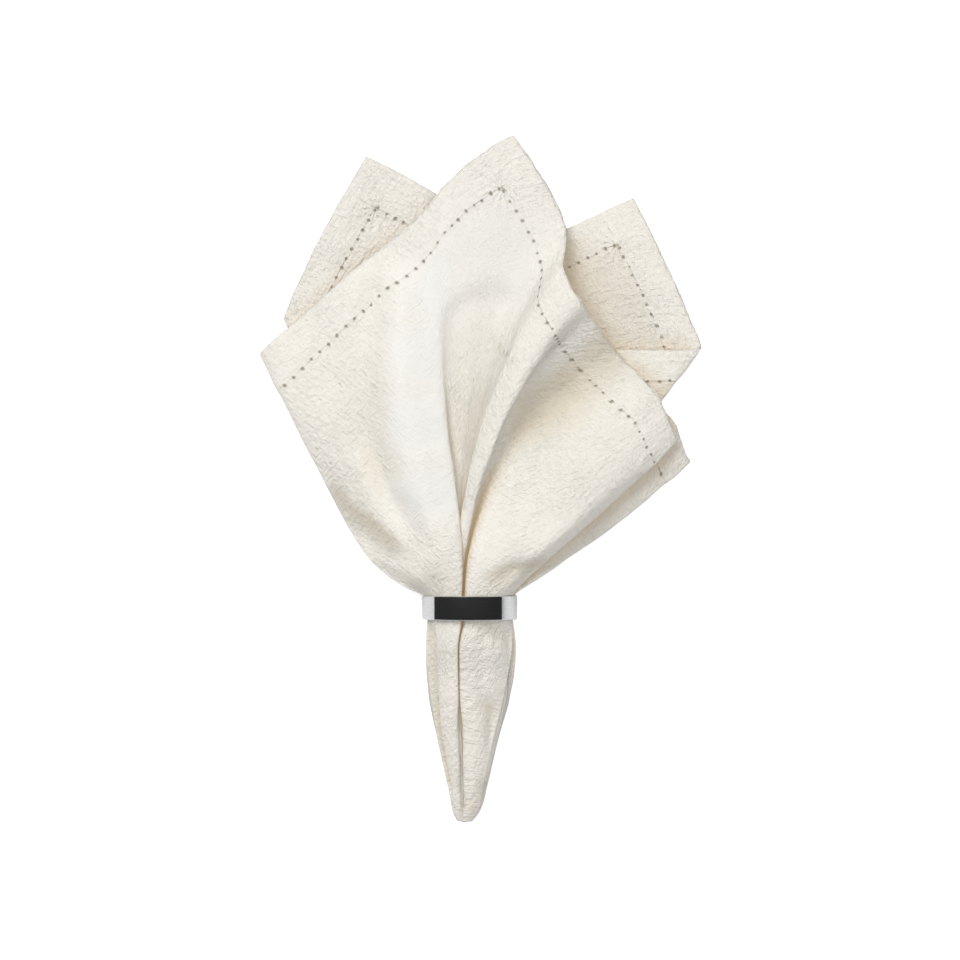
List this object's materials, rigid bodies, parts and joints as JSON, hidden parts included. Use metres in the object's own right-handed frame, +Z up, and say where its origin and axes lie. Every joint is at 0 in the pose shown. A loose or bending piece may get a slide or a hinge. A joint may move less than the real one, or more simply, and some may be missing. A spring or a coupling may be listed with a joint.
{
  "type": "cloth napkin in a ring",
  "caption": "Square hemstitched dinner napkin gathered through a metal ring with a dark front plate, its corners fanned out flat.",
  "frame": {"origin": "middle of the footprint, on the surface that the napkin lies on", "axes": "+Z up off the surface, -Y towards the tail's tip, +Y towards the fanned corners, +X to the right seen from above"},
  "size_m": [0.2198, 0.342, 0.0482],
  "materials": {
    "cloth": "matt ivory plain weave with a drawn-thread border",
    "ring_metal": "polished silver-coloured metal",
    "plate_enamel": "smooth dark enamel"
  },
  "bodies": {
    "root": {"napkin_cloth": "cloth", "ring_band": "ring_metal", "ring_plate": "plate_enamel"}
  },
  "joints": []
}
